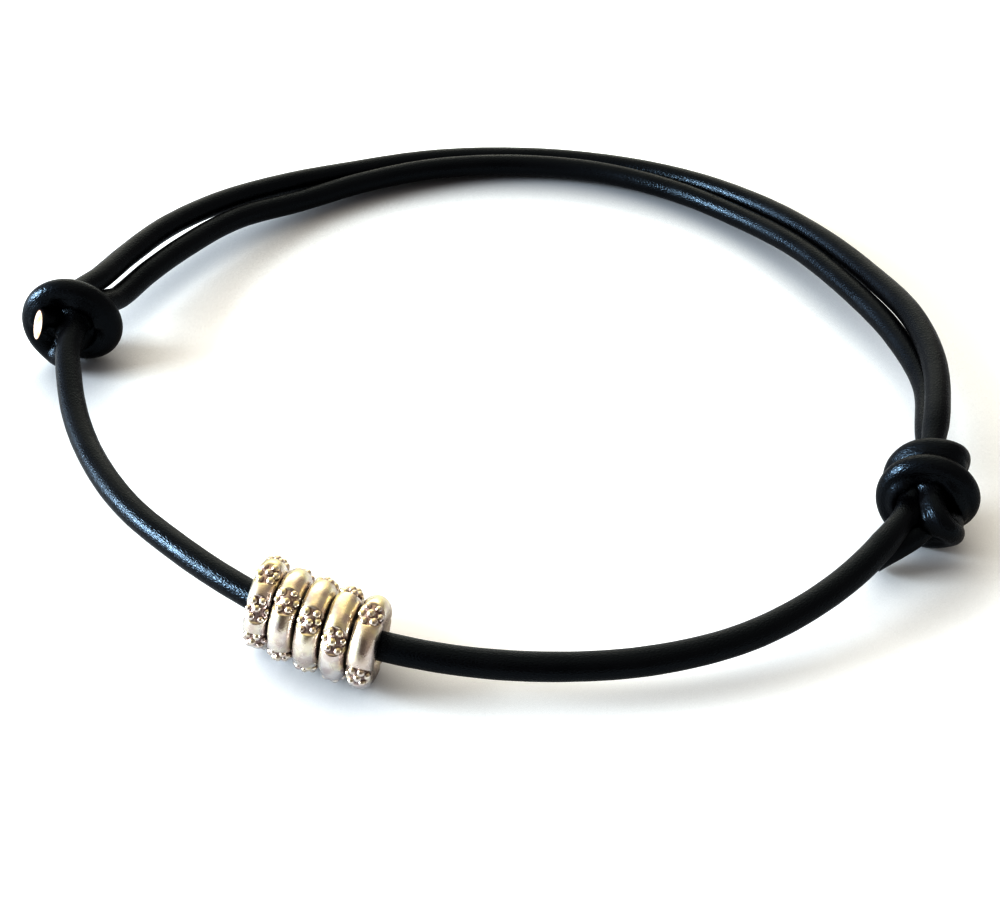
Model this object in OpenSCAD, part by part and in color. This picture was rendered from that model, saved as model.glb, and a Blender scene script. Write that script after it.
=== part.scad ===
// Leather cord bracelet, lying flat as it is taken off.
// One round cord goes round twice at the back and once at the front. It is closed by two sliding
// knots: in each of them one strand is coiled round itself and round the strand that slides through.
// Five cast metal rings are threaded on the front left stretch.
// Millimetres, +Z up, the front of the loop toward -Y, the middle of the part's outline at the origin.

/* [Cord] */
// Diameter of the leather cord
cord_d = 2; // [1.8:0.05:2]
// Sides of the cord's round section
cord_sides = 12; // [8:2:12]
// Longest step between two sections where the cord runs open
open_step = 2.4; // [1.5:0.1:3]
// Longest step between two sections inside a knot
knot_step = 0.8; // [0.6:0.05:0.9]
// Slant of the cut across the cord's bare end
cut_slant = 45; // [0:5:45]

/* [Loop] */
// Radius of the round line that the route is laid along
loop_r = 35; // [35:0.5:37]

/* [Knots] */
// Tightness of the left knot, where 1 is full round cord and less squeezes it
left_size = 0.96; // [0.94:0.01:0.98]
// Tightness of the right knot
right_size = 0.86; // [0.84:0.01:0.88]

/* [Rings] */
// Distance from a ring's axis to the middle of its band
ring_r = 2.24; // [2.22:0.01:2.26]
// Half of the length that a ring takes on the cord
band_r = 0.92; // [0.9:0.01:0.93]
// Bore that the cord goes through
bore_d = 2.7; // [2.7:0.05:2.8]
// Depth of the round fields in the band
field_depth = 0.15; // [0.12:0.01:0.18]
// Radius of a round field
field_r = 0.99; // [0.96:0.01:1]
// Diameter of one raised grain
grain_d = 0.58; // [0.5:0.02:0.6]

/* [Hidden] */
$fn = 48;
black = "#1b1b20";
silver = "#b9b7b2";

// Middle of the part's outline, from the middle of the round line.
outline_x = -2.245;
outline_y = -0.085;
outline_z = 0.022;

// Rows of the route: [bearing, distance outside the round line, height of the cord's middle].
// Bearings go anticlockwise as seen from above, with 270 toward the front.
BEARING = 0;
OUT = 1;
HEIGHT = 2;

// The single strand from the right knot along the front to the left knot.
FRONT = [
  [315, 1.3, 3.5], [306, 1.5, 3.1], [296, 1.6, 2.9], [286, 1.2, 2.8], [276, 0.7, 2.9],
  [266, 0.3, 3.1], [256, -0.2, 3.2], [246, -0.8, 3.2], [236, -1.4, 3.2], [226, -1.6, 3.2],
  [216, -1.3, 3.2], [206, -1, 3.3], [196, -0.6, 3.6], [189, -0.3, 4.15], [183.5, 0, 4.65]
];

// The outer strand from the left knot round the back to the right knot, the upper one at both knots.
OUTER = [
  [166.5, 0.2, 4.75], [159, 0.1, 4.25], [150, 0.1, 3.9], [138, -0.05, 3.25], [126, -0.15, 2.4],
  [114, -0.05, 1.65], [102, 0.4, 1.3], [88, 0.7, 1.05], [74, 0.7, 1.1], [60, 0.1, 1.6],
  [46, -0.9, 2.35], [32, -1.7, 3.15], [18, -1.8, 3.85], [4, -1.05, 4.65], [-8, -0.5, 4.95],
  [-18, -0.15, 4.95]
];

// The inner strand beside it, the lower one at both knots.
INNER = [
  [166.5, -1.2, 2.95], [159, -1.7, 2.8], [150, -2.05, 2.65], [138, -2, 2.25], [126, -2.4, 1.55],
  [114, -2.15, 1.5], [102, -1.7, 1.5], [88, -1.4, 1.4], [74, -1.5, 1.4], [60, -2.2, 1.5],
  [46, -3.1, 1.8], [32, -3.7, 2.5], [18, -3.7, 2.95], [4, -2.35, 3], [-8, -0.9, 2.85],
  [-18, -0.5, 2.8]
];

// The end that leaves the right knot and lies under the front strand.
TAIL = [[318.5, 0.4, 1.3]];

// The end that is bent out of the left knot, up to its cut face.
// Rows: [right, up, forward] from the knot's middle, along the knot's own axes, in slack cord.
CUT_END = [[-1.9, 1.3, 2.7], [-1.8, 1.3, 2.45], [-1.25, 0.8, 1.5]];

// Where the slanted cut reaches back furthest along the cord, as a direction in the same rows, and
// how many sections the slant takes to fade out.
CUT_BACK = [-0.65, 0.7, -0.3];
cut_fade = 4;

// Each knot: [middle as a route row, heading of its axis, tightness, angle of the standing strand
// at its front end, twist of the three strands inside it, whole laps of the coil, its pitch in
// slack cord, fold into the coil, tuck out of it].
// Angles round a knot are seen from its front, with 0 to the right and 90 up.
MIDDLE = 0;
HEADING = 1;
SIZE = 2;
STAND = 3;
TWIST = 4;
LAPS = 5;
PITCH = 6;
FOLD = 7;
TUCK = 8;

// A fold or a tuck: [how far round the coil it goes, pull of its curve inside, pull on the coil].
TURN = 0;
PULL_IN = 1;
PULL_OUT = 2;

LEFT = [[176, 0.65, 4.15], 262, left_size, -76, 40, 1, 1.8, [60, 3.7, 2.2], [60, 3.7, 2]];
RIGHT = [[328.6, 1.4, 3.7], 246, right_size, 56, 60, 2, 2.4, [110, 5.2, 2.8], [90, 4, 2]];

// Strands inside a coil, a third of a turn apart.
STANDING = 0;
SLIDING = 1;
END = 2;

// A knot in slack cord: space between strands, their distance from the axis, the coil's, and the
// turn from one point of the coil to the next.
strand_gap = 2.05;
inside_r = 1.2;
coil_r = inside_r + strand_gap;
coil_step = 18;

// A fold or a tuck starts this far inside the end of the coil, and has this many steps.
fold_depth = 1.4;
fold_steps = 8;

// A knot squeezes the cord out to knot_reach, and lets it go over the knot_fade beyond that.
knot_reach = 4.5;
knot_fade = 2.5;

// Grains of one field: [round the band from its middle, along the ring], in degrees.
GRAINS = [[0, 0], [50, 0], [-50, 0], [25, 11.5], [-25, 11.5], [25, -11.5], [-25, -11.5]];

// The rings stand side by side: heading and rise of the axis that they share, and how far a ring's
// middle lies above the cord's, which rests in its bore.
ring_heading = 168;
ring_rise = 7;
ring_lift = 0.08;

// Rings from left to right: [bearing, number of fields, place of the first field].
// The place is the angle from the ring's top down its front.
PLACE = 0;
FIELDS = 1;
FIRST = 2;
RINGS = [[241.8, 7, 3], [245.25, 4, 28], [248.65, 4, 40], [251.95, 4, 54], [255.2, 4, 6]];

function unit(v) = v / norm(v);

function blend(a, b, u) = a + (b - a) * u;

// A route row as a point.
function on_route(row) = [
  (loop_r + row[OUT]) * cos(row[BEARING]) - outline_x,
  (loop_r + row[OUT]) * sin(row[BEARING]) - outline_y,
  row[HEIGHT] - outline_z
];

// A direction given to a knot's right, up and forward.
function turned(knot, p) =
  p[0] * [-sin(knot[HEADING]), cos(knot[HEADING]), 0] +
  p[1] * [0, 0, 1] +
  p[2] * [cos(knot[HEADING]), sin(knot[HEADING]), 0];

// A point of a knot, given to its right, up and forward in slack cord.
function in_knot(knot, p) = on_route(knot[MIDDLE]) + knot[SIZE] * turned(knot, p);

function around(angle, r, forward) = [r * cos(angle), r * sin(angle), forward];

// Whole turn of a knot's coil, and half of its length.
function coil_turn(knot) = 120 - knot[TWIST] + 360 * knot[LAPS];

function coil_half(knot) = knot[PITCH] * coil_turn(knot) / 720;

// A point of one of the three strands inside a knot.
function inside(knot, strand, forward) = around(
  knot[STAND] + 120 * strand + knot[TWIST] * (coil_half(knot) - forward) / (2 * coil_half(knot)),
  inside_r,
  forward
);

// A point of the coil, by the turn from its front end.
function coiled(knot, turn) = around(
  knot[STAND] - turn,
  coil_r,
  coil_half(knot) * (1 - 2 * turn / coil_turn(knot))
);

function curve_point(a, b, c, d, u) = blend(
  blend(blend(a, b, u), blend(b, c, u), u),
  blend(blend(b, c, u), blend(c, d, u), u),
  u
);

// Directions along a strand inside a knot and along its coil.
function inside_way(knot, strand, forward) =
  unit(inside(knot, strand, forward + 0.01) - inside(knot, strand, forward));

function coiled_way(knot, turn) = unit(coiled(knot, turn + 0.1) - coiled(knot, turn));

// The fold at the front end, where the standing strand turns back into the coil.
function fold(knot) = let (
  start = coil_half(knot) - fold_depth,
  turn = knot[FOLD][TURN],
  a = inside(knot, STANDING, start),
  d = coiled(knot, turn),
  b = a + knot[FOLD][PULL_IN] * inside_way(knot, STANDING, start),
  c = d - knot[FOLD][PULL_OUT] * coiled_way(knot, turn)
) [for (i = [0:fold_steps]) curve_point(a, b, c, d, i / fold_steps)];

// The tuck at the back end, where the coil goes in and becomes the end strand.
function tuck(knot) = let (
  turn = coil_turn(knot) - knot[TUCK][TURN],
  end = fold_depth - coil_half(knot),
  a = coiled(knot, turn),
  d = inside(knot, END, end),
  b = a + knot[TUCK][PULL_OUT] * coiled_way(knot, turn),
  c = d - knot[TUCK][PULL_IN] * inside_way(knot, END, end)
) [for (i = [0:fold_steps]) curve_point(a, b, c, d, i / fold_steps)];

// The coiled strand of a knot, from the strand at its back to the end inside it.
function tied(knot) = let (
  half = coil_half(knot),
  free_turn = coil_turn(knot) - knot[FOLD][TURN] - knot[TUCK][TURN],
  steps = ceil(free_turn / coil_step),
  long = half > 1.5
) [
  inside(knot, STANDING, -half - 1.3),
  inside(knot, STANDING, -half),
  if (long) inside(knot, STANDING, 0),
  each fold(knot),
  for (i = [1:steps - 1]) coiled(knot, knot[FOLD][TURN] + free_turn * i / steps),
  each tuck(knot),
  if (long) inside(knot, END, 0)
];

function reversed(list) = [for (i = [len(list) - 1:-1:0]) list[i]];

// The whole route, from the cut face in the left knot to the end at the right knot.
left_half = coil_half(LEFT);
right_half = coil_half(RIGHT);
route = [
  for (row = CUT_END) in_knot(LEFT, row),
  in_knot(LEFT, inside(LEFT, END, left_half - 0.3)),
  for (p = reversed(tied(LEFT))) in_knot(LEFT, p),
  for (row = INNER) on_route(row),
  for (s = [-right_half - 1, -right_half, 0, right_half, right_half + 1])
    in_knot(RIGHT, inside(RIGHT, SLIDING, s)),
  for (row = FRONT) on_route(row),
  for (s = [left_half, 0, -left_half - 1]) in_knot(LEFT, inside(LEFT, SLIDING, s)),
  for (row = OUTER) on_route(row),
  for (p = tied(RIGHT)) in_knot(RIGHT, p),
  for (s = [right_half, right_half + 1.2]) in_knot(RIGHT, inside(RIGHT, END, s)),
  for (row = TAIL) on_route(row)
];

// Directions of the route, weighted so that a short span bends more than a long one beside it.
last = len(route) - 1;
span = [for (i = [0:last - 1]) norm(route[i + 1] - route[i])];
chord = [for (i = [0:last - 1]) (route[i + 1] - route[i]) / span[i]];
slope = [
  for (i = [0:last])
    i == 0 ? chord[0] :
    i == last ? chord[last - 1] :
    (chord[i - 1] * span[i] + chord[i] * span[i - 1]) / (span[i - 1] + span[i])
];

// A point on the smooth curve through span i of the route, and the direction there.
function along(i, u) =
  (2 * u ^ 3 - 3 * u ^ 2 + 1) * route[i] +
  (u ^ 3 - 2 * u ^ 2 + u) * span[i] * slope[i] +
  (3 * u ^ 2 - 2 * u ^ 3) * route[i + 1] +
  (u ^ 3 - u ^ 2) * span[i] * slope[i + 1];

function heading(i, u) = unit(
  (6 * u ^ 2 - 6 * u) * (route[i] - route[i + 1]) / span[i] +
  (3 * u ^ 2 - 4 * u + 1) * slope[i] +
  (3 * u ^ 2 - 2 * u) * slope[i + 1]
);

function pieces(length) = ceil(length / (length < 2 ? knot_step : open_step));

// Stations down the cord: [span, share of the span].
stations = [
  for (i = [0:last - 1], j = [0:pieces(span[i]) - 1]) [i, j / pieces(span[i])],
  [last - 1, 1]
];

function knot_hold(p, knot) = let (
  away = norm(p - on_route(knot[MIDDLE])),
  held = max(0, min(1, (knot_reach + knot_fade - away) / knot_fade))
) 1 - (1 - knot[SIZE]) * held;

function cord_r(p) = cord_d / 2 * knot_hold(p, LEFT) * knot_hold(p, RIGHT);

// A direction across the cord at each station, carried along with no twist.
tangents = [for (s = stations) heading(s[0], s[1])];
start_across = unit(cross(tangents[0], [0, 0, 1]));
across = [
  for (
    i = 0, n = start_across;
    i < len(tangents);
    i = i + 1, n = i < len(tangents) ? unit(n - (n * tangents[i]) * tangents[i]) : n
  ) n
];

cut_back = unit(turned(LEFT, CUT_BACK));

// The section at station k, leaned back by the slant of the cut that is left there.
function section(k) = let (
  p = along(stations[k][0], stations[k][1]),
  side = cross(tangents[k], across[k]),
  r = cord_r(p),
  slant = tan(cut_slant) * max(0, 1 - k / cut_fade)
) [
  for (j = [0:cord_sides - 1])
    let (out = cos(360 * j / cord_sides) * across[k] + sin(360 * j / cord_sides) * side)
    p + r * out + r * slant * (out * cut_back) * tangents[k]
];

module leather_cord() {
  rows = len(stations);
  points = [for (k = [0:rows - 1], q = section(k)) q];
  walls = [
    for (k = [0:rows - 2], j = [0:cord_sides - 1])
      let (a = k * cord_sides, n = (j + 1) % cord_sides)
      [a + j, a + cord_sides + j, a + cord_sides + n, a + n]
  ];
  first_face = [for (j = [0:cord_sides - 1]) j];
  last_face = [for (j = [cord_sides - 1:-1:0]) (rows - 1) * cord_sides + j];
  color(black)
    polyhedron(points, concat([first_face, last_face], walls), convexity = 10);
}

// Place of a bearing on the front strand: [span of the route, share of it].
front_start = len(route) - len(TAIL) - 2 - len(tied(RIGHT)) - len(OUTER) - 3 - len(FRONT);

function front_place(bearing) = let (
  k = max([for (i = [0:len(FRONT) - 2]) FRONT[i][BEARING] >= bearing ? i : 0])
) [
  front_start + k,
  (FRONT[k][BEARING] - bearing) / (FRONT[k][BEARING] - FRONT[k + 1][BEARING])
];

// A round band about the Z axis.
module band(r) {
  rotate_extrude()
    translate([ring_r, 0])
      circle(r);
}

// What is on the ring's front face, turned to a field at this angle from the top.
module at_field(angle) {
  rotate([0, 0, 180 - angle])
    children();
}

module grain(round_band, round_ring) {
  rotate([0, 0, round_ring])
    translate([ring_r, 0, 0])
      rotate([0, round_band, 0])
        translate([band_r - field_depth, 0, 0])
          sphere(d = grain_d);
}

module ring(number) {
  row = RINGS[number - 1];
  place = front_place(row[PLACE]);
  step = 360 / row[FIELDS];
  color(silver)
    translate(along(place[0], place[1]) + [0, 0, ring_lift])
      rotate([0, 90 - ring_rise, ring_heading])
        difference() {
          union() {
            difference() {
              band(band_r);
              for (i = [0:row[FIELDS] - 1])
                at_field(row[FIRST] + i * step)
                  translate([ring_r, 0, 0])
                    rotate([0, 90, 0])
                      cylinder(r = field_r, h = 2 * band_r);
            }
            band(band_r - field_depth);
            for (i = [0:row[FIELDS] - 1], g = GRAINS)
              at_field(row[FIRST] + i * step)
                grain(g[0], g[1]);
          }
          translate([0, 0, -2])
            cylinder(d = bore_d, h = 4);
        }
}

module ring_1() { ring(1); }
module ring_2() { ring(2); }
module ring_3() { ring(3); }
module ring_4() { ring(4); }
module ring_5() { ring(5); }

leather_cord();
ring_1();
ring_2();
ring_3();
ring_4();
ring_5();
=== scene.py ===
"""Dresses the leather cord bracelet: a round black cord tied with two sliding knots, and five cast rings.

Sizes in the classes are millimetres, as in the part's source, and MM turns them into metres.
"""

import logging
import math
from dataclasses import dataclass, field
from enum import Enum

import bmesh
import bpy
import numpy as np
from bpy.types import ID, Material, Node, NodeSocket, NodeTree, Object
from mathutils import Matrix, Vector


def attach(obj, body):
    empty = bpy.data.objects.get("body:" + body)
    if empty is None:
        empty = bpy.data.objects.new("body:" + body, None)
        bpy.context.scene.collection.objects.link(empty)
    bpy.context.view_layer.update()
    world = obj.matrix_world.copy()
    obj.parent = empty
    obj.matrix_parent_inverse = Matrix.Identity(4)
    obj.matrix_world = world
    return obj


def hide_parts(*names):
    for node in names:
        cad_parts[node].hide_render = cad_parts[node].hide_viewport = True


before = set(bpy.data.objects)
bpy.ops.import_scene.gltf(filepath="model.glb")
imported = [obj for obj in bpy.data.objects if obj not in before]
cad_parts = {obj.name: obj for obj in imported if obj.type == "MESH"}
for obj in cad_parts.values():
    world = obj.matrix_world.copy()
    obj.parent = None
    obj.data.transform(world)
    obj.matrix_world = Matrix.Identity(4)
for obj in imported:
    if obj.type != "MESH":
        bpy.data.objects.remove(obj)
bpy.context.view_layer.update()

LOG = logging.getLogger("bracelet")
BODY = "root"
MM = 0.001

Row = tuple[float, float, float]
Colour = tuple[float, float, float]
Array = np.ndarray
Faces = list[tuple[int, ...]]

# Rows of the route: bearing, distance outside the round line, height of the cord's middle.
FRONT: tuple[Row, ...] = (
    (315, 1.3, 3.5), (306, 1.5, 3.1), (296, 1.6, 2.9), (286, 1.2, 2.8), (276, 0.7, 2.9),
    (266, 0.3, 3.1), (256, -0.2, 3.2), (246, -0.8, 3.2), (236, -1.4, 3.2), (226, -1.6, 3.2),
    (216, -1.3, 3.2), (206, -1, 3.3), (196, -0.6, 3.6), (189, -0.3, 4.15), (183.5, 0, 4.65),
)
OUTER: tuple[Row, ...] = (
    (166.5, 0.2, 4.75), (159, 0.1, 4.25), (150, 0.1, 3.9), (138, -0.05, 3.25), (126, -0.15, 2.4),
    (114, -0.05, 1.65), (102, 0.4, 1.3), (88, 0.7, 1.05), (74, 0.7, 1.1), (60, 0.1, 1.6),
    (46, -0.9, 2.35), (32, -1.7, 3.15), (18, -1.8, 3.85), (4, -1.05, 4.65), (-8, -0.5, 4.95),
    (-18, -0.15, 4.95),
)
INNER: tuple[Row, ...] = (
    (166.5, -1.2, 2.95), (159, -1.7, 2.8), (150, -2.05, 2.65), (138, -2, 2.25), (126, -2.4, 1.55),
    (114, -2.15, 1.5), (102, -1.7, 1.5), (88, -1.4, 1.4), (74, -1.5, 1.4), (60, -2.2, 1.5),
    (46, -3.1, 1.8), (32, -3.7, 2.5), (18, -3.7, 2.95), (4, -2.35, 3), (-8, -0.9, 2.85),
    (-18, -0.5, 2.8),
)
TAIL: tuple[Row, ...] = ((318.5, 0.4, 1.3),)
# Right, up and forward of the left knot's middle, in slack cord.
CUT_END: tuple[Row, ...] = ((-1.9, 1.3, 2.7), (-1.8, 1.3, 2.45), (-1.25, 0.8, 1.5))
# Where the slanted cut reaches back furthest along the cord, in the same rows.
CUT_BACK: Row = (-0.65, 0.7, -0.3)
LOOP_R = 35.0
OUTLINE_MIDDLE = np.array([-2.245, -0.085, 0.022])


# Degrees from one strand to the next inside a knot.
STRAND_APART = 120


class Strand(Enum):
    """The three strands inside a knot, a third of a turn apart."""

    STANDING = 0
    SLIDING = 1
    END = 2


def on_route(row: Row) -> Array:
    """Gives a route row as a point.

    Args:
        row: bearing in degrees, distance outside the round line, height.

    Returns:
        The point, in millimetres.
    """
    bearing = math.radians(row[0])
    out = LOOP_R + row[1]
    return np.array([out * math.cos(bearing), out * math.sin(bearing), row[2]]) - OUTLINE_MIDDLE


def around(angle: float, radius: float, forward: float) -> Array:
    """Gives a point round a knot's axis, its angle in degrees seen from the front, 0 right and 90 up."""
    turn = math.radians(angle)
    return np.array([radius * math.cos(turn), radius * math.sin(turn), forward])


def unit(vector: Array) -> Array:
    """Gives the vector at length 1."""
    return vector / np.linalg.norm(vector)


def curve_point(a: Array, b: Array, c: Array, d: Array, u: float) -> Array:
    """Gives the point at share u of the curve from a to d that is pulled toward b and c."""
    v = 1 - u
    return v**3 * a + 3 * v * v * u * b + 3 * v * u * u * c + u**3 * d


def curve_between(a: Array, b: Array, leave: Array, reach: Array, u: float | Array) -> Array:
    """Gives the points at shares u of the curve from a to b, with the speeds leave at a and reach at b."""
    first = (2 * u**3 - 3 * u**2 + 1) * a + (u**3 - 2 * u**2 + u) * leave
    return first + (3 * u**2 - 2 * u**3) * b + (u**3 - u**2) * reach


def walked_along(line: Array) -> Array:
    """Gives the length from a line's start to each of its points."""
    return np.r_[0, np.cumsum(np.linalg.norm(np.diff(line, axis=0), axis=1))]


def smoothstep(low: float, high: float, value: Array) -> Array:
    """Rises smoothly from 0 at low to 1 at high."""
    t = np.clip((value - low) / (high - low), 0, 1)
    return t * t * (3 - 2 * t)


@dataclass(frozen=True)
class Bend:
    """A fold into a knot's coil, or a tuck out of it."""

    turn: float
    pull_in: float
    pull_out: float


@dataclass(frozen=True)
class Knot:
    """A sliding knot: a strand coiled round itself and round the strand that slides through it."""

    middle: Row
    heading: float
    tightness: float
    stand: float
    twist: float
    laps: int
    pitch: float
    fold_bend: Bend
    tuck_bend: Bend
    inside_r: float = 1.2
    coil_r: float = 3.25
    coil_step: float = 18.0
    fold_depth: float = 1.4
    fold_steps: int = 8
    reach: float = 4.5
    fade: float = 2.5
    lead_in: float = 1.3
    long_from: float = 1.5

    @property
    def turn(self) -> float:
        """The coil's whole turn, in degrees."""
        return STRAND_APART - self.twist + 360 * self.laps

    @property
    def half(self) -> float:
        """Half of the coil's length."""
        return self.pitch * self.turn / 720

    def turned(self, way: Array | Row) -> Array:
        """Turns a direction from the knot's own axes to the part's.

        Args:
            way: right, up and forward.

        Returns:
            The direction in the part's frame.
        """
        h = math.radians(self.heading)
        right = np.array([-math.sin(h), math.cos(h), 0])
        ahead = np.array([math.cos(h), math.sin(h), 0])
        return way[0] * right + way[1] * np.array([0, 0, 1]) + way[2] * ahead

    def place(self, point: Array | Row) -> Array:
        """Puts a point of slack cord, right, up and forward of the knot's middle, into the tied knot."""
        return on_route(self.middle) + self.tightness * self.turned(point)

    def inside(self, strand: Strand, forward: float) -> Array:
        """Gives the point of a strand inside the coil that lies so far forward."""
        twisted = self.twist * (self.half - forward) / (2 * self.half)
        return around(self.stand + STRAND_APART * strand.value + twisted, self.inside_r, forward)

    def coiled(self, turn: float) -> Array:
        """Gives the point of the coil that lies so many degrees from its front end."""
        return around(self.stand - turn, self.coil_r, self.half * (1 - 2 * turn / self.turn))

    def inside_way(self, strand: Strand, forward: float) -> Array:
        """Gives the direction of a strand inside the coil."""
        return unit(self.inside(strand, forward + 0.01) - self.inside(strand, forward))

    def coiled_way(self, turn: float) -> Array:
        """Gives the direction of the coil."""
        return unit(self.coiled(turn + 0.1) - self.coiled(turn))

    def bent(self, strand: Strand, forward: float, turn: float, bend: Bend) -> list[Array]:
        """Gives the points where a strand turns back into the coil, or where the coil tucks in as the end.

        Args:
            strand: the strand inside the coil.
            forward: where the bend leaves it.
            turn: where the bend meets the coil, in degrees from the coil's front end.
            bend: how far the bend pulls.

        Returns:
            The points, in the cord's order.
        """
        way = -1 if strand is Strand.END else 1
        inner, outer = self.inside(strand, forward), self.coiled(turn)
        past_inner = inner + way * bend.pull_in * self.inside_way(strand, forward)
        past_outer = outer - way * bend.pull_out * self.coiled_way(turn)
        ends = (inner, past_inner, past_outer, outer)[::way]
        return [curve_point(*ends, i / self.fold_steps) for i in range(self.fold_steps + 1)]

    def tied(self) -> list[Array]:
        """Lays the coiled strand through the knot.

        Returns:
            Its points, from the strand at the knot's back to the end inside it.
        """
        fold, tuck = self.fold_bend, self.tuck_bend
        free = self.turn - fold.turn - tuck.turn
        steps = math.ceil(free / self.coil_step)
        is_long = self.half > self.long_from
        lead = (-self.half - self.lead_in, -self.half)
        points = [self.inside(Strand.STANDING, forward) for forward in lead]
        if is_long:
            points.append(self.inside(Strand.STANDING, 0))
        points += self.bent(Strand.STANDING, self.half - self.fold_depth, fold.turn, fold)
        points += [self.coiled(fold.turn + free * i / steps) for i in range(1, steps)]
        points += self.bent(Strand.END, self.fold_depth - self.half, self.turn - tuck.turn, tuck)
        if is_long:
            points.append(self.inside(Strand.END, 0))
        return points

    def hold(self, points: Array) -> Array:
        """Gives how much the knot narrows the cord at each point.

        Args:
            points: points down the cord.

        Returns:
            1 away from the knot and its tightness inside it.
        """
        away = np.linalg.norm(points - on_route(self.middle), axis=1)
        held = np.clip((self.reach + self.fade - away) / self.fade, 0, 1)
        return 1 - (1 - self.tightness) * held


LEFT_KNOT = Knot(
    middle=(176, 0.65, 4.15), heading=262, tightness=0.96, stand=-76, twist=40, laps=1, pitch=1.8,
    fold_bend=Bend(60, 3.7, 2.2), tuck_bend=Bend(60, 3.7, 2),
)
RIGHT_KNOT = Knot(
    middle=(328.6, 1.4, 3.7), heading=246, tightness=0.86, stand=56, twist=60, laps=2, pitch=2.4,
    fold_bend=Bend(110, 5.2, 2.8), tuck_bend=Bend(90, 4, 2),
)


@dataclass(frozen=True)
class Tree:
    """A node tree that is being filled in."""

    tree: NodeTree

    def add(self, kind: str, inputs: dict[str | int, object] | None = None, **settings: object) -> Node:
        """Adds a node and sets or links its inputs.

        Args:
            kind: the node's type.
            inputs: socket name or number to a plain value, or to the output socket that feeds it.
            **settings: the node's own properties.

        Returns:
            The node.
        """
        node = self.tree.nodes.new(kind)
        for name, value in settings.items():
            setattr(node, name, value)
        for name, value in (inputs or {}).items():
            socket = node.inputs[name]
            if isinstance(value, NodeSocket):
                self.tree.links.new(value, socket)
            else:
                is_colour = socket.type == "RGBA" and len(value) == 3
                socket.default_value = (*value, 1) if is_colour else value
        return node

    def link(self, output: NodeSocket, node: Node, name: str) -> None:
        """Links an output to a node's named input."""
        self.tree.links.new(output, node.inputs[name])

    def values(self, name: str, output: str) -> NodeSocket:
        """Adds the values that are kept on the mesh under a name."""
        return self.add("ShaderNodeAttribute", attribute_name=name).outputs[output]

    def noise(self, place: object, scale: object, detail: float, roughness: float) -> NodeSocket:
        """Adds soft noise, with so many bumps a metre."""
        inputs = {"Vector": place, "Scale": scale, "Detail": detail, "Roughness": roughness}
        return self.add("ShaderNodeTexNoise", inputs).outputs[0]

    def vector(self, operation: str, a: object, b: object = (0.0, 0.0, 0.0)) -> Node:
        """Adds a sum on two vectors or sockets."""
        return self.add("ShaderNodeVectorMath", {0: a, 1: b}, operation=operation)

    def bump(self, shader: Node, height: object, strength: float, depth: float) -> None:
        """Raises the surface that a shader sees, by a depth in metres."""
        node = self.add("ShaderNodeBump", {"Height": height, "Strength": strength, "Distance": depth})
        self.link(node.outputs[0], shader, "Normal")

    def maths(self, operation: str, a: object, b: object = 0.0, clamp: bool = False) -> NodeSocket:
        """Adds a sum on two numbers or sockets."""
        return self.add("ShaderNodeMath", {0: a, 1: b}, operation=operation, use_clamp=clamp).outputs[0]

    def mix(self, share: object, a: object, b: object) -> NodeSocket:
        """Mixes two colours, with share of b."""
        return self.add("ShaderNodeMix", {0: share, 6: a, 7: b}, data_type="RGBA").outputs[2]

    def ramp(
        self, value: object, low: object, high: object, start: float = 0.0, end: float = 1.0
    ) -> NodeSocket:
        """Maps low and high to start and end, smoothly between and held beyond."""
        sockets = {0: value, 1: low, 2: high, 3: start, 4: end}
        return self.add("ShaderNodeMapRange", sockets, interpolation_type="SMOOTHSTEP").outputs[0]


def new_group(name: str, numbers: dict[str, float], outputs: tuple[str, ...]) -> tuple[Tree, Node, Node]:
    """Starts a shader node group, whose first input is Place.

    Args:
        name: the group's name.
        numbers: the other inputs and their first values.
        outputs: names of the numbers that it puts out.

    Returns:
        The group's tree helper, its input node and its output node.
    """
    group = bpy.data.node_groups.new(name, "ShaderNodeTree")
    group.interface.new_socket("Place", in_out="INPUT", socket_type="NodeSocketVector")
    for label, value in numbers.items():
        socket = group.interface.new_socket(label, in_out="INPUT", socket_type="NodeSocketFloat")
        socket.default_value = value
    for label in outputs:
        group.interface.new_socket(label, in_out="OUTPUT", socket_type="NodeSocketFloat")
    tree = Tree(group)
    return tree, tree.add("NodeGroupInput"), tree.add("NodeGroupOutput")


def fine_grain_group() -> NodeTree:
    """Makes the fine grain of a surface: soft pebbles with creases between them.

    Returns:
        The node group, with Height and Creases.
    """
    numbers = {"Scale": 4000.0, "Stretch": 1.0, "Roundness": 0.5}
    t, given, out = new_group("fine_grain", numbers, ("Height", "Creases"))
    scale = given.outputs["Scale"]
    shrink = t.maths("DIVIDE", 1.0, given.outputs["Stretch"])
    along = t.add("ShaderNodeCombineXYZ", {0: shrink, 1: 1.0, 2: 1.0}).outputs[0]
    place = t.vector("MULTIPLY", given.outputs["Place"], along).outputs[0]
    noise = t.noise(place, scale, 3.0, 0.6)
    cells = t.add("ShaderNodeTexVoronoi", {"Vector": place, "Scale": scale}, feature="DISTANCE_TO_EDGE")
    pebble = t.ramp(cells.outputs[0], 0.0, 0.3)
    height = t.add("ShaderNodeMix", {0: given.outputs["Roundness"], 2: noise, 3: pebble}).outputs[0]
    t.link(height, out, "Height")
    t.link(t.maths("SUBTRACT", 1.0, pebble), out, "Creases")
    return t.tree


def mottle_group() -> NodeTree:
    """Makes the slow change of tone over a surface.

    Returns:
        The node group, with Mask.
    """
    t, given, out = new_group("mottle", {"Scale": 300.0, "Spread": 0.2}, ("Mask",))
    noise = t.noise(given.outputs["Place"], given.outputs["Scale"], 2.0, 0.5)
    low = t.maths("SUBTRACT", 0.5, given.outputs["Spread"])
    high = t.maths("ADD", 0.5, given.outputs["Spread"])
    t.link(t.ramp(noise, low, high), out, "Mask")
    return t.tree


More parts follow.
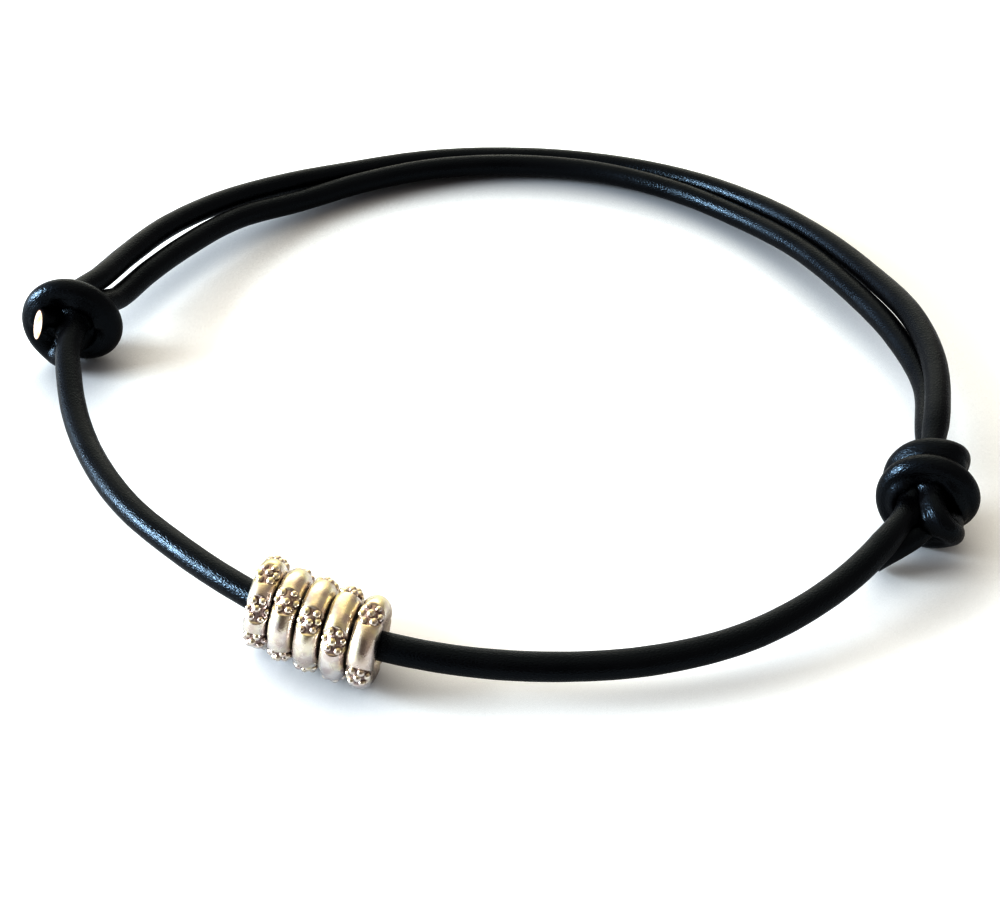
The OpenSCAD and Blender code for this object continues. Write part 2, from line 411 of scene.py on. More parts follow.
@dataclass(frozen=True)
class Effects:
    """The node groups that more than one finish uses."""

    fine_grain: NodeTree = field(default_factory=fine_grain_group)
    mottle: NodeTree = field(default_factory=mottle_group)

    def grain(self, tree: Tree, place: NodeSocket, scale: float, stretch: float, roundness: float) -> Node:
        """Places the fine grain: grains a metre, length for width, and share of round pebbles."""
        inputs = {"Place": place, "Scale": scale, "Stretch": stretch, "Roundness": roundness}
        return tree.add("ShaderNodeGroup", inputs, node_tree=self.fine_grain)

    def tone(self, tree: Tree, place: NodeSocket, scale: float, spread: float) -> NodeSocket:
        """Places the slow change of tone: patches a metre, and how soft their edges are."""
        inputs = {"Place": place, "Scale": scale, "Spread": spread}
        return tree.add("ShaderNodeGroup", inputs, node_tree=self.mottle).outputs["Mask"]


def new_material(name: str, **sockets: object) -> tuple[Material, Tree, Node]:
    """Starts a material with a Principled shader.

    Args:
        name: the material's name.
        **sockets: plain values for the shader's sockets, with _ for the spaces in their names.

    Returns:
        The material, its tree helper and the shader.
    """
    material = bpy.data.materials.new(name)
    material.use_nodes = True
    tree = Tree(material.node_tree)
    shader = material.node_tree.nodes["Principled BSDF"]
    for label, value in sockets.items():
        shader.inputs[label.replace("_", " ")].default_value = value
    return material, tree, shader


@dataclass(frozen=True)
class BlackLeather:
    """Black dyed round leather cord, lightly waxed."""

    dye: Colour = (0.0018, 0.0016, 0.0024)
    rubbed: Colour = (0.0075, 0.0062, 0.0068)
    sheen_tint: Colour = (0.66, 0.84, 1.0)
    sheen_level: float = 0.34
    sheen_low: float = 0.18
    sheen_high: float = 0.29
    crease_dulls: float = 0.1
    grain_scale: float = 5200.0
    grain_share: float = 0.5
    streak_scale: float = 4200.0
    streak_share: float = 0.45
    wrinkle_scale: float = 2600.0
    wrinkle_long: Row = (1.0, 0.16, 0.16)
    wrinkle_share: float = 1.6
    tone_scale: float = 240.0
    worn_all: float = 0.35
    worn_bends: float = 0.5
    relief: float = 0.75
    relief_depth: float = 0.00006

    def material(self, effects: Effects) -> Material:
        """Makes the material.

        Args:
            effects: the shared node groups.

        Returns:
            The material.
        """
        material, t, shader = new_material(
            "black_leather", Specular_IOR_Level=self.sheen_level, Specular_Tint=(*self.sheen_tint, 1.0)
        )
        straight = t.values("straight", "Vector")
        bend = t.values("bend", "Fac")
        grain = effects.grain(t, straight, self.grain_scale, 1.8, 0.45)
        streaks = effects.grain(t, straight, self.streak_scale, 22.0, 0.0)
        wide = effects.tone(t, straight, self.tone_scale, 0.18)
        flat = t.vector("MULTIPLY", straight, self.wrinkle_long).outputs[0]
        wrinkle = t.maths("MULTIPLY", t.noise(flat, self.wrinkle_scale, 2.0, 0.5), bend)
        height = t.maths(
            "ADD",
            t.maths("MULTIPLY", grain.outputs["Height"], self.grain_share),
            t.maths("MULTIPLY", streaks.outputs["Height"], self.streak_share),
        )
        height = t.maths("ADD", height, t.maths("MULTIPLY", wrinkle, self.wrinkle_share))
        exposed = t.maths("ADD", self.worn_all, t.maths("MULTIPLY", bend, self.worn_bends))
        worn = t.maths("MULTIPLY", wide, exposed, clamp=True)
        t.link(t.mix(worn, self.dye, self.rubbed), shader, "Base Color")
        rough = t.ramp(wide, 0.0, 1.0, self.sheen_low, self.sheen_high)
        rough = t.maths("ADD", rough, t.maths("MULTIPLY", grain.outputs["Creases"], self.crease_dulls))
        t.link(rough, shader, "Roughness")
        t.bump(shader, height, self.relief, self.relief_depth)
        return material


@dataclass(frozen=True)
class CutLeather:
    """The undyed core of the cord, where it was cut across."""

    pale: Colour = (0.60, 0.51, 0.43)
    tan: Colour = (0.38, 0.22, 0.13)
    skin: Colour = (0.035, 0.010, 0.010)
    fibre_scale: float = 7000.0
    patch_scale: float = 1600.0
    patch_share: float = 0.45
    crease_share: float = 0.4
    core_r: float = 0.00084
    skin_r: float = 0.00093
    relief: float = 0.8
    relief_depth: float = 0.00008

    def material(self, effects: Effects) -> Material:
        """Makes the material.

        Args:
            effects: the shared node groups.

        Returns:
            The material.
        """
        material, t, shader = new_material("cut_leather", Roughness=0.85, Specular_IOR_Level=0.2)
        straight = t.values("straight", "Vector")
        fibres = effects.grain(t, straight, self.fibre_scale, 1.0, 0.3)
        tone = t.maths(
            "ADD",
            t.maths("MULTIPLY", effects.tone(t, straight, self.patch_scale, 0.15), self.patch_share),
            t.maths("MULTIPLY", fibres.outputs["Creases"], self.crease_share),
        )
        across = t.vector("MULTIPLY", straight, (0.0, 1.0, 1.0)).outputs[0]
        rim = t.ramp(t.vector("LENGTH", across).outputs["Value"], self.core_r, self.skin_r)
        core = t.mix(tone, self.pale, self.tan)
        t.link(t.mix(rim, core, self.skin), shader, "Base Color")
        t.bump(shader, fibres.outputs["Height"], self.relief, self.relief_depth)
        return material


@dataclass(frozen=True)
class CastSilver:
    """Bright cast metal with a warm tarnish, a painted warm reflection on what faces up, and oxide with
    painted shade in its hollows.
    """

    bright: Colour = (0.84, 0.80, 0.775)
    # The warm colour serves both the random tarnish and the painted reflection on what faces up.
    warm: Colour = (0.84, 0.77, 0.51)
    dull: Colour = (0.56, 0.46, 0.45)
    oxide_and_shade: Colour = (0.36, 0.27, 0.26)
    pit_scale: float = 5200.0
    patina_scale: float = 700.0
    patina_share: float = 0.35
    painted_top_share: float = 0.65
    stain_scale: float = 1100.0
    stain_share: float = 0.5
    polish_low: float = 0.20
    polish_high: float = 0.32
    hollow_dulls: float = 0.25
    relief: float = 0.35
    relief_depth: float = 0.00003

    def material(self, effects: Effects) -> Material:
        """Makes the material.

        Args:
            effects: the shared node groups.

        Returns:
            The material.
        """
        material, t, shader = new_material("cast_silver", Metallic=1.0)
        place = t.add("ShaderNodeTexCoord").outputs["Object"]
        hollow = t.values("recess", "Fac")
        pits = effects.grain(t, place, self.pit_scale, 1.0, 0.2).outputs["Height"]
        patina = effects.tone(t, place, self.patina_scale, 0.16)
        # Painted reflection: what faces up is tinted warm, on top of the random warm tarnish.
        normal = t.add("ShaderNodeNewGeometry").outputs["Normal"]
        facing = t.add("ShaderNodeSeparateXYZ", {0: normal}).outputs[2]
        painted_top_reflection = t.maths("MULTIPLY", t.ramp(facing, 0.1, 0.85), self.painted_top_share)
        tarnish_and_top_reflection = t.maths("ADD", painted_top_reflection, t.maths("MULTIPLY", patina, self.patina_share))
        skin = t.mix(tarnish_and_top_reflection, self.bright, self.warm)
        stain = effects.tone(t, place, self.stain_scale, 0.12)
        skin = t.mix(t.maths("MULTIPLY", stain, self.stain_share), skin, self.dull)
        # Oxide in the hollows, and painted shade at the grains' feet, following the recess mark.
        dark = t.maths("MULTIPLY", hollow, t.ramp(pits, 0.3, 0.6, 0.75, 1.0), clamp=True)
        t.link(t.mix(dark, skin, self.oxide_and_shade), shader, "Base Color")
        polish = t.ramp(patina, 0.0, 1.0, self.polish_low, self.polish_high)
        t.link(t.maths("ADD", polish, t.maths("MULTIPLY", dark, self.hollow_dulls)), shader, "Roughness")
        t.bump(shader, pits, self.relief, self.relief_depth)
        return material


@dataclass(frozen=True)
class PaleFloor:
    """Smooth white card, with painted shade near things and a painted glow that only the camera sees."""

    white: Colour = (0.71, 0.71, 0.71)
    shade: Colour = (0.69, 0.69, 0.70)
    under: Colour = (0.42, 0.42, 0.43)
    lift: Colour = (0.42, 0.42, 0.40)
    light_way: Row = (-0.12, 0.8, 0.59)
    shade_reach: float = 0.009
    front_y: float = -0.035
    shade_front: float = 1.35
    back_y: float = 0.03
    shade_back: float = 3.6

    def material(self, effects: Effects) -> Material:
        """Makes the material.

        Args:
            effects: the shared node groups.

        Returns:
            The material.
        """
        material, t, shader = new_material(
            "pale_floor", Roughness=0.9, Specular_IOR_Level=0.1, Emission_Strength=1.0
        )
        place = t.add("ShaderNodeTexCoord").outputs["Object"]
        white = t.mix(effects.tone(t, place, 6.0, 0.3), self.white, self.shade)
        # The soft shade lies on the side away from the room's light.
        toward_light = t.add("ShaderNodeCombineXYZ", dict(enumerate(self.light_way))).outputs[0]
        inputs = {"Distance": self.shade_reach, "Normal": toward_light}
        open_sky = t.add("ShaderNodeAmbientOcclusion", inputs, samples=8).outputs["AO"]
        # The shade is strong under the back strands and weak at the front, where the light is strong.
        along = t.add("ShaderNodeSeparateXYZ", {0: place}).outputs[1]
        strength = t.ramp(along, self.front_y, self.back_y, self.shade_front, self.shade_back)
        free = t.maths("POWER", open_sky, strength)
        # Painted shade: the card's colour darkens toward the under colour where things hide the room.
        t.link(t.mix(free, self.under, white), shader, "Base Color")
        # Painted glow: for the camera the floor also glows, and the glow is dimmed by the same painted
        # shade near things.
        seen = t.add("ShaderNodeLightPath").outputs["Is Camera Ray"]
        share = t.maths("MULTIPLY", seen, free)
        t.link(t.mix(share, (0.0, 0.0, 0.0), self.lift), shader, "Emission Color")
        return material


def new_object(name: str, data: ID) -> Object:
    """Puts a new object in the scene.

    Args:
        name: the object's name.
        data: its mesh, light or camera.

    Returns:
        The object.
    """
    thing = bpy.data.objects.new(name, data)
    bpy.context.scene.collection.objects.link(thing)
    return thing


def new_piece(name: str, points: Array, faces: Faces) -> Object:
    """Makes a smooth-shaded mesh object in the scene.

    Args:
        name: the piece's name.
        points: its points, in millimetres.
        faces: its faces, as point numbers.

    Returns:
        The object.
    """
    mesh = bpy.data.meshes.new(name)
    mesh.from_pydata((points * MM).tolist(), [], faces)
    mesh.polygons.foreach_set("use_smooth", [True] * len(faces))
    mesh.update()
    return new_object(name, mesh)


def keep_values(piece: Object, name: str, values: Array) -> None:
    """Stores a number or a vector at each point of a mesh, for its material.

    Args:
        piece: the object.
        name: the attribute's name.
        values: one value a point.
    """
    is_vector = values.ndim == 2
    kind = "FLOAT_VECTOR" if is_vector else "FLOAT"
    attribute = piece.data.attributes.new(name, kind, "POINT")
    attribute.data.foreach_set("vector" if is_vector else "value", values.astype(np.float32).ravel())


# Slow waves of the cord's thickness: radians a millimetre, start, share.
WAVES: tuple[Row, ...] = ((0.71, 0.4, 1.0), (1.83, 2.1, 0.6), (3.1, 1.0, 0.5))


@dataclass
class LeatherCord:
    """The one black cord, from its cut end in the left knot to its end at the right knot."""

    diameter: float = 2.0
    sides: int = 36
    step: float = 0.25
    sample_step: float = 0.05
    cut_slant: float = 45.0
    cut_fade: float = 1.6
    press_reach: float = 2.3
    press_near: float = 1.7
    press_steps: int = 17
    press_apart: float = 2.6
    cut_rings: int = 7
    cut_crown: float = 0.10
    cut_depth: float = 0.3
    undulation: float = 0.010
    knots: tuple[Knot, Knot] = (LEFT_KNOT, RIGHT_KNOT)
    piece: Object | None = None
    line: Array = field(default_factory=lambda: np.zeros((0, 3)))

    def route(self) -> tuple[Array, int]:
        """Lists the points that the cord follows.

        Returns:
            The points in millimetres, and the number of the first one of the front strand.
        """
        left, right = self.knots
        points = [left.place(row) for row in CUT_END]
        points.append(left.place(left.inside(Strand.END, left.half - 0.3)))
        points += [left.place(p) for p in reversed(left.tied())]
        points += [on_route(row) for row in INNER]
        for s in (-right.half - 1, -right.half, 0, right.half, right.half + 1):
            points.append(right.place(right.inside(Strand.SLIDING, s)))
        front_start = len(points)
        points += [on_route(row) for row in FRONT]
        for s in (left.half, 0, -left.half - 1):
            points.append(left.place(left.inside(Strand.SLIDING, s)))
        points += [on_route(row) for row in OUTER]
        points += [right.place(p) for p in right.tied()]
        points += [right.place(right.inside(Strand.END, s)) for s in (right.half, right.half + 1.2)]
        points += [on_route(row) for row in TAIL]
        return np.array(points), front_start

    @staticmethod
    def slopes(points: Array) -> tuple[Array, Array]:
        """Gives the direction at each point of the route, and the length of each span.

        Args:
            points: the route.

        Returns:
            The directions and the spans.
        """
        step = np.diff(points, axis=0)
        span = np.linalg.norm(step, axis=1)
        chord = step / span[:, None]
        slope = np.empty_like(points)
        slope[0], slope[-1] = chord[0], chord[-1]
        before, after = span[:-1, None], span[1:, None]
        slope[1:-1] = (chord[:-1] * after + chord[1:] * before) / (before + after)
        return slope, span

    def on_curve(self, points: Array, number: int, u: float | Array) -> Array:
        """Gives points on the smooth curve through the route.

        Args:
            points: the route.
            number: the span.
            u: share of the span, or a column of them.

        Returns:
            The point or points.
        """
        slope, span = self.slopes(points)
        leave, reach = span[number] * slope[number], span[number] * slope[number + 1]
        return curve_between(points[number], points[number + 1], leave, reach, u)

    def trace(self) -> Array:
        """Lays the cord's middle along its route in even steps.

        Returns:
            The points down the cord, in millimetres.
        """
        points, _ = self.route()
        _, span = self.slopes(points)
        fine = []
        for i, length in enumerate(span):
            u = np.linspace(0, 1, max(3, math.ceil(length / self.sample_step)), endpoint=False)[:, None]
            fine.append(self.on_curve(points, i, u))
        fine.append(points[-1:])
        line = np.concatenate(fine)
        walked = walked_along(line)
        even = np.linspace(0, walked[-1], round(walked[-1] / self.step) + 1)
        return np.stack([np.interp(even, walked, line[:, k]) for k in range(3)], axis=1)

    @staticmethod
    def length_of(line: Array) -> float:
        """Gives the length of a line of points."""
        return float(walked_along(line)[-1])

    @staticmethod
    def carried(line: Array) -> tuple[Array, Array, Array]:
        """Carries a direction across the cord along it with no twist.

        Args:
            line: the points down the cord.

        Returns:
            The directions along the cord, across it, and across both.
        """
        way = np.gradient(line, axis=0)
        way /= np.linalg.norm(way, axis=1)[:, None]
        across = np.empty_like(way)
        n = unit(np.cross(way[0], [0, 0, 1]))
        for i, t in enumerate(way):
            n = unit(n - (n @ t) * t)
            across[i] = n
        return way, across, np.cross(way, across)

    def radii(self, line: Array, walked: Array) -> Array:
        """Gives the cord's radius at each point, squeezed in the knots and a little uneven.

        Args:
            line: the points down the cord.
            walked: the length from the cord's start.

        Returns:
            The radii.
        """
        r = np.full(len(line), self.diameter / 2)
        for knot in self.knots:
            r *= knot.hold(line)
        waves = sum(height * np.sin(walked * pace + start) for pace, start, height in WAVES)
        return r * (1 - 0.4 * self.undulation + self.undulation * 0.4 * waves)

    def pressed(self, line: Array, walked: Array, r: Array, out: Array) -> Array:
        """Finds how far the soft cord spreads inside the knots, until it meets the strand beside it.

        Args:
            line: the points down the cord.
            walked: the length from the cord's start.
            r: the radii.
            out: the outward directions round each point.

        Returns:
            What each point of the surface is moved outward by.
        """
        swell = np.zeros(out.shape[:2])
        reach = np.linspace(0, self.press_reach, self.press_steps)
        for knot in self.knots:
            away = np.linalg.norm(line - on_route(knot.middle), axis=1)
            held = np.flatnonzero(away < knot.reach + knot.fade)
            share = 1 - smoothstep(knot.reach - 0.6, knot.reach + 0.9, away)
            for k in held:
                others = held[np.abs(walked[held] - walked[k]) > self.press_apart]
                surface = line[k] + out[k][:, None, :] * (r[k] + reach)[None, :, None]
                gap = np.linalg.norm(surface[:, :, None, :] - line[others], axis=3) - r[others]
                met = gap.min(axis=2) < 0
                first = reach[np.argmax(met, axis=1)]
                near = met.any(axis=1) * (1 - smoothstep(self.press_near, self.press_reach, first))
                swell[k] = 0.5 * first * near * share[k] * smoothstep(0.6, self.press_apart, walked[k])
        for _ in range(2):
            swell = (np.roll(swell, 1, axis=1) + 2 * swell + np.roll(swell, -1, axis=1)) / 4
            swell[1:-1] = (swell[:-2] + 2 * swell[1:-1] + swell[2:]) / 4
        return swell

    def build(self) -> None:
        """Makes the cord's mesh with its two cut faces."""
        line = self.trace()
        self.line = line
        walked = walked_along(line)
        way, across, side = self.carried(line)
        r = self.radii(line, walked)
        angle = np.linspace(0, 2 * math.pi, self.sides, endpoint=False)
        c, s = np.cos(angle)[None, :, None], np.sin(angle)[None, :, None]
        out = c * across[:, None, :] + s * side[:, None, :]
        slant = math.tan(math.radians(self.cut_slant)) * np.clip(1 - walked / self.cut_fade, 0, 1)
        back = unit(self.knots[0].turned(CUT_BACK))
        push = (r * slant)[:, None, None] * (out @ back)[:, :, None] * way[:, None, :]
        full = r[:, None] + self.pressed(line, walked, r, out)
        points = line[:, None, :] + full[:, :, None] * out + push
        curl = np.gradient(way, axis=0) / np.gradient(walked)[:, None]
        bend = -(out * curl[:, None, :]).sum(axis=2) * self.diameter / 2
        rows, sides = len(line), self.sides
        straight = np.empty((rows, sides, 3))
        straight[:, :, 0] = walked[:, None]
        straight[:, :, 1] = r[:, None] * np.cos(angle)
        straight[:, :, 2] = r[:, None] * np.sin(angle)
        faces = [face for k in range(rows - 1) for face in self.sleeve(k * sides, (k + 1) * sides)]
        count = len(faces)
        solid, flat = [points.reshape(-1, 3)], [straight.reshape(-1, 3)]
        total = rows * sides
        for end, inward in ((0, 1.0), (rows - 1, -1.0)):
            layers, flat_layers = self.cut_face(points[end], straight[end], inward * way[end], inward)
            solid.append(layers)
            flat.append(flat_layers)
            faces += self.cut_faces(end * sides, total, inward)
            total += len(layers)
        self.piece = new_piece("black_cord", np.concatenate(solid), faces)
        kinds = np.zeros(len(faces), dtype=np.int32)
        # Only the slanted cut shows the pale core: the tail's end is dyed.
        kinds[count:(count + len(faces)) // 2] = 1
        self.piece.data.polygons.foreach_set("material_index", kinds)
        bends = np.zeros(total)
        bends[:rows * sides] = np.abs(bend).reshape(-1)
        keep_values(self.piece, "straight", np.concatenate(flat) * MM)
        keep_values(self.piece, "bend", np.clip(bends, 0, 1))

    def sleeve(self, before: int, after: int) -> Faces:
        """Lists the faces between two rings of points, given by the number of each ring's first point."""
        n = self.sides
        return [(before + j, before + (j + 1) % n, after + (j + 1) % n, after + j) for j in range(n)]

    def cut_face(self, edge: Array, flat_edge: Array, inner: Array, inward: float) -> tuple[Array, Array]:
        """Lays out the slightly crowned face across a cut end, in rings that end in its middle point.

        Args:
            edge: the last points round the cord.
            flat_edge: the same points on the straightened cord.
            inner: the direction from the cut into the cord.
            inward: 1 at the cord's start and -1 at its end.

        Returns:
            The face's points, and the same on the straightened cord.
        """
        middle = edge.mean(axis=0)
        layers, flat_layers = [], []
        for ring in range(1, self.cut_rings):
            share = 1 - ring / self.cut_rings
            layers.append(middle + (edge - middle) * share - inner * self.cut_crown * (1 - share**2))
            deep = np.array([inward * self.cut_depth * (1 - share), 0, 0])
            flat_layers.append(flat_edge * np.array([1, share, share]) - deep)
        layers.append((middle - inner * self.cut_crown)[None])
        flat_layers.append(np.array([[flat_edge[0, 0], 0, 0]]))
        return np.concatenate(layers), np.concatenate(flat_layers)

    def cut_faces(self, before: int, first: int, inward: float) -> Faces:
        """Lists the faces across a cut end.

        Args:
            before: number of the first point on its edge.
            first: number of the first point of the cut's own rings.
            inward: 1 at the cord's start and -1 at its end.

        Returns:
            The faces.
        """
        faces: Faces = []
        sides = self.sides
        for _ in range(1, self.cut_rings):
            faces += self.sleeve(before, first)
            before, first = first, first + sides
        faces += [(before + j, before + (j + 1) % sides, first) for j in range(sides)]
        return faces if inward < 0 else [face[::-1] for face in faces]

    def dress(self, leather: Material, cut: Material) -> None:
        """Gives the cord its finishes and its place in the frame.

        Args:
            leather: the finish of its surface.
            cut: the finish of its cut faces.
        """
        self.piece.data.materials.append(leather)
        self.piece.data.materials.append(cut)
        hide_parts("leather_cord")
        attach(self.piece, BODY)


# Grains of one field: degrees round the band from its middle, and degrees along the ring.
GRAINS: tuple[tuple[float, float], ...] = (
    (0, 0), (50, 0), (-50, 0), (25, 11.5), (-25, 11.5), (25, -11.5), (-25, -11.5),
)


@dataclass
class CastRing:
    """One cast ring: a round band with round fields of raised grains."""

    number: int
    bearing: float
    fields: int
    first: float
    ring_r: float = 2.24
    band_r: float = 0.92
    bore_r: float = 1.35
    heading: float = 168.0
    rise: float = 7.0
    lift: float = 0.08
    depth: float = 0.15
    field_r: float = 0.99
    field_edge: float = 0.16
    grain_r: float = 0.29
    grain_least: float = 0.82
    grain_most: float = 1.08
    grain_off_band: float = 6.0
    grain_off_ring: float = 1.6
    unevenness: float = 0.008
    first_draw: int = 40
    round_ring: int = 336
    round_band: int = 96
    piece: Object | None = None

    def frame_on(self, cord: LeatherCord) -> tuple[Array, Array]:
        """Finds the ring's place on the front strand.

        Args:
            cord: the cord that it is threaded on.

        Returns:
            The ring's middle, and its turn as a matrix.
        """
        points, front_start = cord.route()
        k = max(i for i in range(len(FRONT) - 1) if FRONT[i][0] >= self.bearing)
        share = (FRONT[k][0] - self.bearing) / (FRONT[k][0] - FRONT[k + 1][0])
        middle = cord.on_curve(points, front_start + k, share) + np.array([0, 0, self.lift])
        tilt = math.radians(90 - self.rise)
        swing = math.radians(self.heading)
        ct, st, cs, ss = math.cos(tilt), math.sin(tilt), math.cos(swing), math.sin(swing)
        lean = np.array([[ct, 0, st], [0, 1, 0], [-st, 0, ct]])
        spin = np.array([[cs, -ss, 0], [ss, cs, 0], [0, 0, 1]])
        return middle, spin @ lean

    def field_ways(self) -> list[Array]:
        """Gives the direction from the ring's axis to each field."""
        turns = [math.radians(180 - self.first - i * 360 / self.fields) for i in range(self.fields)]
        return [np.array([math.cos(a), math.sin(a), 0]) for a in turns]

    def grain_places(self, way: Array, draw: np.random.Generator) -> Array:
        """Places the grains of one field, each a little off its even place.

        Args:
            way: the direction to the field.
            draw: the ring's own random draw.

        Returns:
            The grains' middles.
        """
        across = np.array([-way[1], way[0], 0])
        tube = self.band_r - self.depth
        places = []
        for round_band, round_ring in GRAINS:
            b = math.radians(round_band + draw.uniform(-self.grain_off_band, self.grain_off_band))
            a = math.radians(round_ring + draw.uniform(-self.grain_off_ring, self.grain_off_ring))
            out = math.cos(a) * way + math.sin(a) * across
            places.append(out * (self.ring_r + tube * math.cos(b)) + np.array([0, 0, -tube * math.sin(b)]))
        return np.array(places)

    def build(self, cord: LeatherCord) -> None:
        """Makes the ring's mesh on the cord.

        Args:
            cord: the cord that it is threaded on.
        """
        draw = np.random.default_rng(self.first_draw + self.number)
        ways = self.field_ways()
        grains = np.concatenate([self.grain_places(way, draw) for way in ways])
        band, recess = self.band(ways, grains)
        n, m = self.round_ring, self.round_band
        faces = [
            (i * m + j, ((i + 1) % n) * m + j, ((i + 1) % n) * m + (j + 1) % m, i * m + (j + 1) % m)
            for i in range(n)
            for j in range(m)
        ]
        points, shade = [band.reshape(-1, 3)], [recess.reshape(-1)]
        ball, ball_faces = self.ball()
        total = n * m
        for grain in grains:
            flat = math.hypot(grain[0], grain[1])
            middle = np.array([grain[0], grain[1], 0]) * self.ring_r / flat
            up = unit(grain - middle)
            size = self.grain_r * draw.uniform(self.grain_least, self.grain_most)
            points.append(grain + ball * size)
            # Painted shade on each grain: dark at its foot, clear toward its top.
            shade.append(0.85 * (1 - smoothstep(-0.1, 0.55, ball @ up)))
            faces += [tuple(total + v for v in face) for face in ball_faces]
            total += len(ball)
        middle, turn = self.frame_on(cord)
        self.piece = new_piece(f"cast_ring_{self.number}", np.concatenate(points) @ turn.T + middle, faces)
        keep_values(self.piece, "recess", np.clip(np.concatenate(shade), 0, 1))

    def band(self, ways: list[Array], grains: Array) -> tuple[Array, Array]:
        """Shapes the round band with its sunk fields and its bore.

        Args:
            ways: the direction from the ring's axis to each field.
            grains: the grains' middles.

        Returns:
            The band's points, and a mark from 0 to 1: oxide on the field floors, darker toward the grains'
            feet as painted shade.
        """
        a = np.linspace(0, 2 * math.pi, self.round_ring, endpoint=False)[:, None]
        b = np.linspace(0, 2 * math.pi, self.round_band, endpoint=False)[None, :]
        reach = self.ring_r + self.band_r * np.cos(b)
        full = np.stack([reach * np.cos(a), reach * np.sin(a), self.band_r * np.sin(b) + 0 * a], axis=2)
        sunk = np.zeros(full.shape[:2])
        for way in ways:
            out = full @ way
            away = np.linalg.norm(full - out[:, :, None] * way, axis=2)
            inside = 1 - smoothstep(self.field_r - self.field_edge, self.field_r, away)
            sunk = np.maximum(sunk, inside * (out > self.ring_r * 0.9))
        wobble = np.sin(3 * a + self.number) * np.cos(2 * b) + np.sin(7 * a + 2 * b + 2 * self.number)
        tube = self.band_r - self.depth * sunk + self.unevenness * wobble * (1 - sunk)
        reach = np.maximum(self.ring_r + tube * np.cos(b), self.bore_r)
        skin = np.stack([reach * np.cos(a), reach * np.sin(a), tube * np.sin(b) + 0 * a], axis=2)
        near = np.full(full.shape[:2], 9.0)
        for grain in grains:
            near = np.minimum(near, np.linalg.norm(skin - grain, axis=2))
        # Oxide on the field floors, and painted shade that grows toward each grain's foot.
        recess = sunk * (0.3 + 0.7 * (1 - smoothstep(self.grain_r * 1.05, self.grain_r * 1.7, near)))
        return skin, recess

    @staticmethod
    def ball() -> tuple[Array, Faces]:
        """Makes a round grain of radius 1.

        Returns:
            Its points and faces.
        """
        shape = bmesh.new()
        bmesh.ops.create_icosphere(shape, subdivisions=4, radius=1)
        points = np.array([tuple(v.co) for v in shape.verts])
        faces = [tuple(v.index for v in face.verts) for face in shape.faces]
        shape.free()
        return points, faces

    def dress(self, silver: Material) -> None:
        """Gives the ring its finish and its place in the frame.

        Args:
            silver: the finish.
        """
        self.piece.data.materials.append(silver)
        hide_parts(f"ring_{self.number}")
        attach(self.piece, BODY)


@dataclass(frozen=True)
class RoomLight:
    """A side of the room: along an axis the light changes to its colour, between two points."""

    axis: int
    start: float
    full: float
    colour: Colour


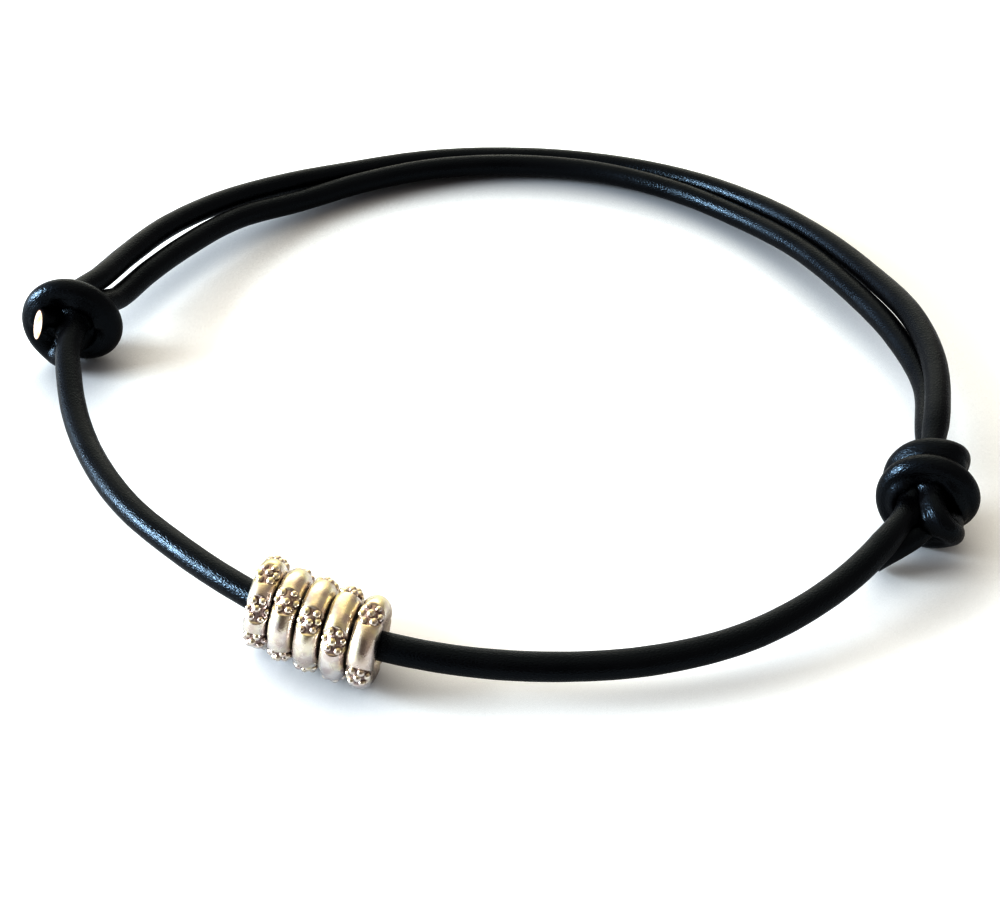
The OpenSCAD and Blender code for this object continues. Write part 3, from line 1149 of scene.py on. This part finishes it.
@dataclass
class Studio:
    """The floor, the lights and the camera."""

    floor_half: float = 1.5
    camera_at: Row = (0.002045, -0.110715, 0.081978)
    camera_tilt: float = 51.0
    lens: float = 59.58
    key_way: Row = (-0.93, -0.10, 0.35)
    key_away: float = 0.5
    key_wide: float = 0.22
    key_high: float = 0.16
    key_power: float = 5.2
    key_colour: Colour = (0.84, 0.94, 1.0)
    front: Colour = (0.28, 0.245, 0.235)
    sides: tuple[RoomLight, ...] = (
        RoomLight(1, -0.8, 0.3, (1.5, 1.4, 1.15)),
        RoomLight(1, 0.55, 0.85, (2.4, 2.3, 2.0)),
        RoomLight(0, 0.1, 0.7, (0.60, 0.55, 0.53)),
        RoomLight(0, -0.2, -0.8, (1.2, 1.3, 1.45)),
        RoomLight(0, -0.86, -0.97, (7.0, 8.2, 9.6)),
    )
    gamma: float = 0.6
    floor: Object | None = None

    def build(self) -> None:
        """Sets up the camera, the light and the floor."""
        self.make_camera()
        self.make_key()
        self.make_sky()
        self.floor = self.make_floor()
        settings = bpy.context.scene.view_settings
        settings.view_transform = "Standard"
        settings.look = "None"
        settings.exposure = 0.0
        settings.gamma = self.gamma

    def make_camera(self) -> None:
        """Sets the camera where the bracelet is seen from."""
        data = bpy.data.cameras.new("camera")
        data.lens = self.lens
        data.sensor_width = 36
        data.clip_start = 0.002
        camera = new_object("camera", data)
        camera.location = self.camera_at
        camera.rotation_euler = (math.radians(self.camera_tilt), 0, 0)
        bpy.context.scene.camera = camera

    def make_key(self) -> None:
        """Hangs the main soft light low on the left, like a window."""
        data = bpy.data.lights.new("key", "AREA")
        data.shape = "RECTANGLE"
        data.size = self.key_wide
        data.size_y = self.key_high
        data.energy = self.key_power
        data.color = self.key_colour
        light = new_object("key", data)
        way = Vector(self.key_way).normalized()
        light.location = way * self.key_away
        light.rotation_euler = way.to_track_quat("Z", "Y").to_euler()

    def make_sky(self) -> None:
        """Fills the room with light: bright from the left, warm from the back, dim from the front."""
        world = bpy.data.worlds.new("room")
        world.use_nodes = True
        bpy.context.scene.world = world
        t = Tree(world.node_tree)
        way = t.add("ShaderNodeTexCoord").outputs["Generated"]
        parts = t.add("ShaderNodeSeparateXYZ", {0: way})
        colour = self.front
        for side in self.sides:
            low, high = sorted((side.start, side.full))
            ends = (0.0, 1.0) if side.start < side.full else (1.0, 0.0)
            colour = t.mix(t.ramp(parts.outputs[side.axis], low, high, *ends), colour, side.colour)
        seen = t.add("ShaderNodeLightPath").outputs["Is Camera Ray"]
        background = world.node_tree.nodes["Background"]
        t.link(t.mix(seen, colour, (1.0, 1.0, 1.0)), background, "Color")
        background.inputs["Strength"].default_value = 1.0

    def make_floor(self) -> Object:
        """Lays the floor under the bracelet."""
        corners = np.array([[-1, -1, 0], [1, -1, 0], [1, 1, 0], [-1, 1, 0]]) * self.floor_half / MM
        return new_piece("floor", corners, [(0, 1, 2, 3)])

    def dress(self, card: Material) -> None:
        """Gives the floor its finish, and keeps it out of the part."""
        self.floor.data.materials.append(card)


# Bearing, number of fields, and the first field's angle from the ring's top down its front.
RINGS: tuple[tuple[float, int, float], ...] = (
    (241.8, 7, 3), (245.25, 4, 28), (248.65, 4, 40), (251.95, 4, 54), (255.2, 4, 6),
)


def main() -> None:
    """Builds the scene in order: the camera and the cord first, then what is on it."""
    logging.basicConfig(level=logging.INFO, format="%(name)s: %(message)s")
    studio = Studio()
    studio.build()
    cord = LeatherCord()
    cord.build()
    LOG.info("cord: %.1f mm, %d faces", cord.length_of(cord.line), len(cord.piece.data.polygons))
    effects = Effects()
    cord.dress(BlackLeather().material(effects), CutLeather().material(effects))
    silver = CastSilver().material(effects)
    rings = [CastRing(i + 1, *row) for i, row in enumerate(RINGS)]
    for ring in rings:
        ring.build(cord)
        ring.dress(silver)
        LOG.info("ring %d: %d fields, %d faces", ring.number, ring.fields, len(ring.piece.data.polygons))
    studio.dress(PaleFloor().material(effects))
    LOG.info("floor, light and camera are in place")


if __name__ == "__main__":
    main()
